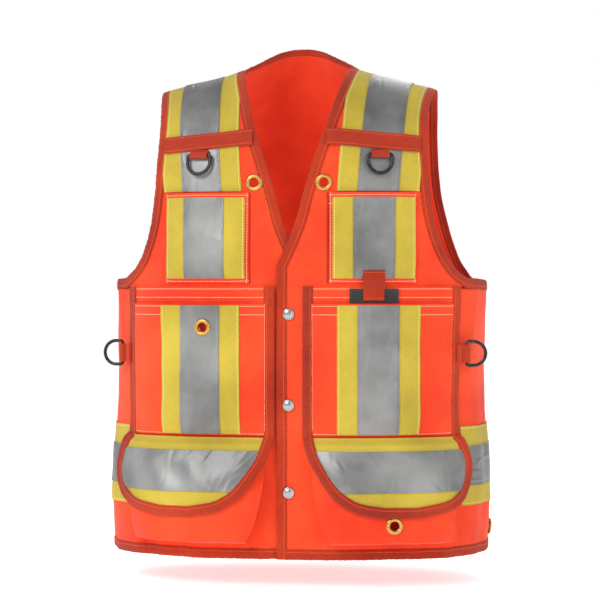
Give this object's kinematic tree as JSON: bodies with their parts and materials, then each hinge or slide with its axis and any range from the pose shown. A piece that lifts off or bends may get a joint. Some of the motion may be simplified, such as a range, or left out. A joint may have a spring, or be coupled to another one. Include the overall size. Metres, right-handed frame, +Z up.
{
  "type": "utility work vest",
  "caption": "Sleeveless orange work vest with reflective braces, a hip band, an X on the back, patch pockets, bellows pouches under flaps, swinging D-rings and a snap front.",
  "frame": {"origin": "middle of the line between the two neck points of the shoulders, where the wearer's shoulders carry the vest", "axes": "+Z up, -Y out of the front, +X to the wearer's left"},
  "size_m": [0.507, 0.3228, 0.6696],
  "materials": {
    "orange_cloth": "plain woven polyester, fluorescent orange",
    "orange_trim": "ribbed binding and webbing, dark orange",
    "yellow_tape": "woven contrast tape, fluorescent yellow",
    "silver_tape": "glass bead reflective tape, grey satin",
    "black_ring": "black glossy coating",
    "brass_eyelet": "rolled brass, slightly dull",
    "chrome_snap": "polished nickel",
    "hook_pile": "black hook-and-loop pile"
  },
  "bodies": {
    "vest": {"back_panel": "orange_cloth", "back_pocket": "orange_cloth", "front_panel_left": "orange_cloth", "chest_pocket_left": "orange_cloth", "lower_pocket_left": "orange_cloth", "pouch_left": "orange_cloth", "front_panel_right": "orange_cloth", "chest_pocket_right": "orange_cloth", "lower_pocket_right": "orange_cloth", "pouch_right": "orange_cloth", "neck_and_front_binding": "orange_trim", "hem_binding": "orange_trim", "pocket_tab": "orange_trim", "armhole_binding_left": "orange_trim", "pocket_binding_left": "orange_trim", "chest_webbing_left": "orange_trim", "ring_loop_chest_left": "orange_trim", "ring_loop_side_left": "orange_trim", "armhole_binding_right": "orange_trim", "pocket_binding_right": "orange_trim", "chest_webbing_right": "orange_trim", "ring_loop_chest_right": "orange_trim", "ring_loop_side_right": "orange_trim", "back_cross_yellow_a": "yellow_tape", "back_cross_yellow_b": "yellow_tape", "hip_band_yellow": "yellow_tape", "brace_yellow_left": "yellow_tape", "chest_pocket_yellow_left": "yellow_tape", "lower_pocket_yellow_left": "yellow_tape", "flap_left": "yellow_tape", "brace_yellow_right": "yellow_tape", "chest_pocket_yellow_right": "yellow_tape", "lower_pocket_yellow_right": "yellow_tape", "flap_right": "yellow_tape", "back_cross_silver_a": "silver_tape", "back_cross_silver_b": "silver_tape", "hip_band_silver": "silver_tape", "brace_silver_left": "silver_tape", "chest_pocket_silver_left": "silver_tape", "lower_pocket_silver_left": "silver_tape", "flap_silver_left": "silver_tape", "brace_silver_right": "silver_tape", "chest_pocket_silver_right": "silver_tape", "lower_pocket_silver_right": "silver_tape", "flap_silver_right": "silver_tape", "grommet_chest_left": "brass_eyelet", "grommet_hem_left": "brass_eyelet", "grommet_chest_right": "brass_eyelet", "grommet_hem_right": "brass_eyelet", "grommet_pouch": "brass_eyelet", "grommet_pocket": "brass_eyelet", "snap_upper": "chrome_snap", "snap_middle": "chrome_snap", "snap_lower": "chrome_snap", "hook_patch_front": "hook_pile", "hook_patch_back": "hook_pile"},
    "ring_chest_left": {"ring_chest_left": "black_ring"},
    "ring_chest_right": {"ring_chest_right": "black_ring"},
    "ring_side_left": {"ring_side_left": "black_ring"},
    "ring_side_right": {"ring_side_right": "black_ring"}
  },
  "joints": [
    {"name": "ring_chest_left_swing", "type": "hinge", "parent": "vest", "child": "ring_chest_left", "pos_m": [0.11572, -0.13078, -0.12052], "axis": [-0.9759, -0.2184, 0], "range_deg": [0, 150]},
    {"name": "ring_chest_right_swing", "type": "hinge", "parent": "vest", "child": "ring_chest_right", "pos_m": [-0.11572, -0.13078, -0.12052], "axis": [-0.9759, 0.2184, 0], "range_deg": [0, 150]},
    {"name": "ring_side_left_swing", "type": "hinge", "parent": "vest", "child": "ring_side_left", "pos_m": [0.22383, -0.08367, -0.37395], "axis": [0, 0, -1], "range_deg": [-20, 110]},
    {"name": "ring_side_right_swing", "type": "hinge", "parent": "vest", "child": "ring_side_right", "pos_m": [-0.22383, -0.08367, -0.37395], "axis": [0, 0, 1], "range_deg": [-20, 110]}
  ]
}
